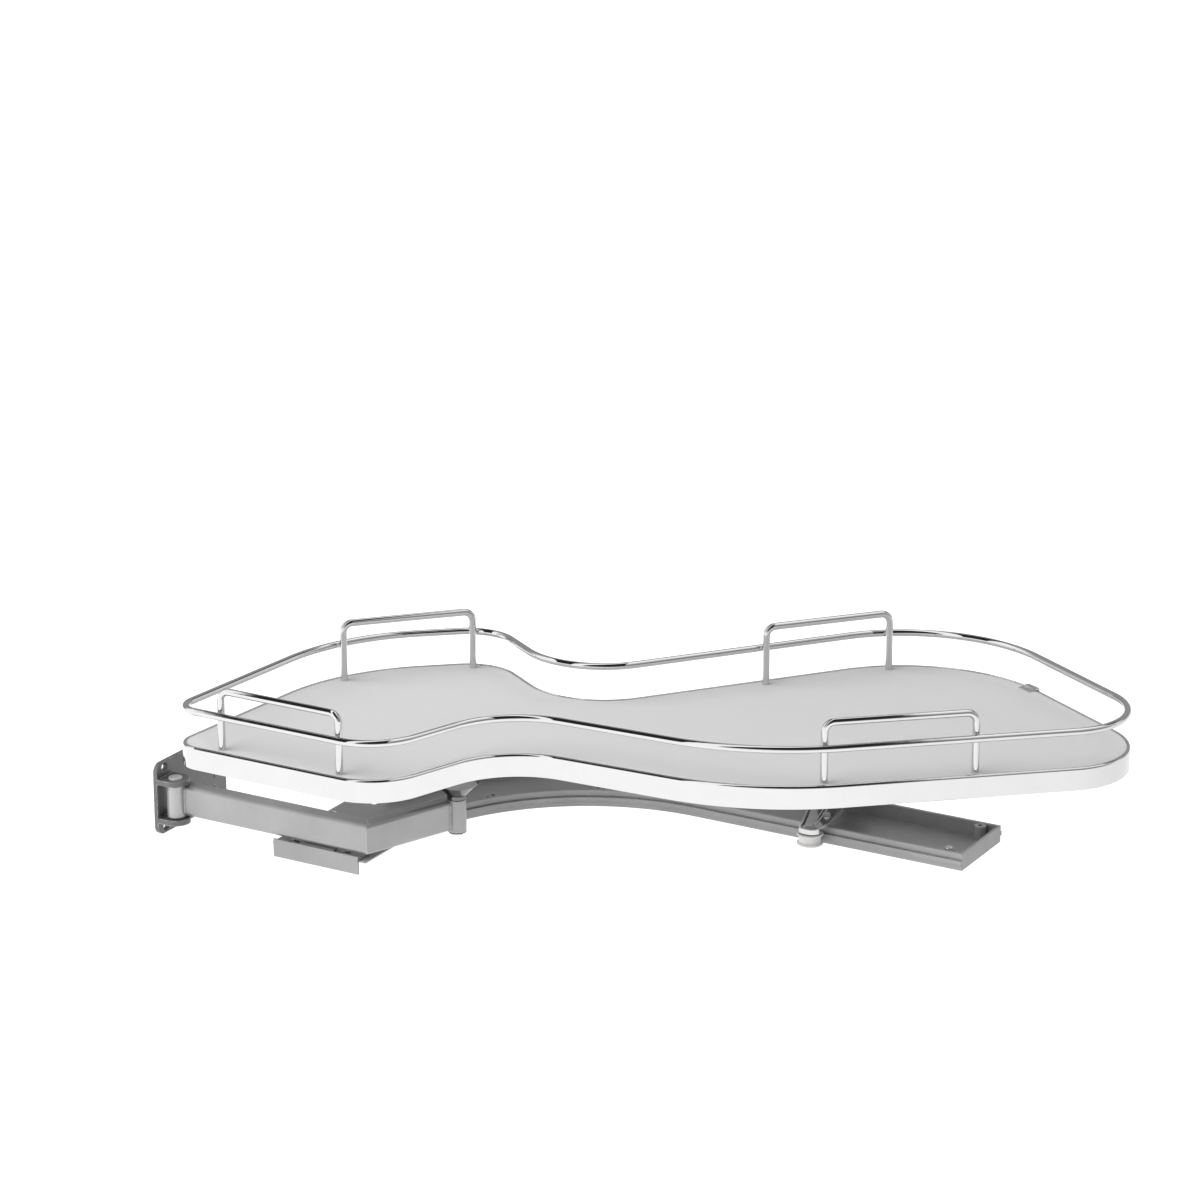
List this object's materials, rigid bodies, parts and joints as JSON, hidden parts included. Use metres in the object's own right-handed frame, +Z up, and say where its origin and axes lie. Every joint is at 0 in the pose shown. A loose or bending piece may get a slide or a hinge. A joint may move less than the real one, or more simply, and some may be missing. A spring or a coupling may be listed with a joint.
{
  "type": "blind corner organizer",
  "caption": "Kidney-shaped pull-out shelf with a wire gallery for a blind corner cupboard, carried by a swing arm on a wall bracket and a roller carriage on a curved floor track.",
  "frame": {"origin": "centre of the wall plate's four-screw pattern, on the plate's back face, which is the cupboard's side wall", "axes": "+X along the cupboard's front, away from the wall; +Y into the cupboard; +Z up"},
  "size_m": [0.7949, 0.5529, 0.1565],
  "materials": {
    "bracket_coat": "satin powder coat, silver grey",
    "arm_coat": "satin powder coat, silver grey",
    "zinc": "bright zinc",
    "bush_plastic": "matt",
    "laminate": "matt pale grey laminate",
    "band_chrome": "mirror bright",
    "wire_chrome": "mirror bright",
    "pressed_chrome": "bright",
    "track_plastic": "satin dark grey",
    "lip_coat": "satin mid grey",
    "roller_plastic": "white nylon"
  },
  "bodies": {
    "mount": {"wall_bracket": "bracket_coat", "arm_pin": "zinc", "floor_track": "track_plastic", "lip_plate": "lip_coat", "lip_rivets": "zinc", "track_screws": "zinc"},
    "arm": {"swing_arm": "arm_coat", "wall_barrel": "arm_coat", "shelf_barrel": "arm_coat", "wall_upper_bush": "bush_plastic", "wall_lower_bush": "bush_plastic", "shelf_upper_bush": "bush_plastic", "shelf_lower_bush": "bush_plastic"},
    "shelf": {"shelf_board": "laminate", "edge_band": "band_chrome", "band_clip": "band_chrome", "gallery_rail": "wire_chrome", "front_left_post": "wire_chrome", "back_left_post": "wire_chrome", "back_right_post": "wire_chrome", "front_right_post": "wire_chrome", "post_screws": "zinc", "pivot_flange": "pressed_chrome", "pivot_screws": "zinc", "pivot_post": "zinc", "pivot_ring": "zinc", "swivel_plate": "pressed_chrome", "swivel_screws": "zinc"},
    "carriage": {"carriage_bridge": "pressed_chrome", "swivel_pin": "pressed_chrome", "front_axle": "zinc", "back_axle": "zinc", "front_washer": "pressed_chrome", "back_washer": "pressed_chrome"},
    "front_wheel": {"front_roller": "roller_plastic"},
    "back_wheel": {"back_roller": "roller_plastic"}
  },
  "joints": [
    {"name": "arm_swing", "type": "hinge", "parent": "mount", "child": "arm", "pos_m": [0.016, -0.042, 0], "axis": [0, 0, 1], "range_deg": [-100, 0]},
    {"name": "shelf_pivot", "type": "hinge", "parent": "arm", "child": "shelf", "pos_m": [0.261, 0.056, 0], "axis": [0, 0, 1], "range_deg": [0, 138]},
    {"name": "carriage_slide", "type": "slide", "parent": "mount", "child": "carriage", "axis": [1, 0, 0], "range_m": [-0.1205, 0]},
    {"name": "front_roller_spin", "type": "hinge", "parent": "carriage", "child": "front_wheel", "pos_m": [0.5525, 0.196, -0.0148], "axis": [0, 0, 1], "continuous": true},
    {"name": "back_roller_spin", "type": "hinge", "parent": "carriage", "child": "back_wheel", "pos_m": [0.5525, 0.3046, -0.0148], "axis": [0, 0, 1], "continuous": true}
  ],
  "couplings": [
    {"joint": "shelf_pivot", "follows": "arm_swing", "ratio": -1.3715},
    {"joint": "carriage_slide", "follows": "arm_swing", "m_per_rad": 0.068755}
  ]
}
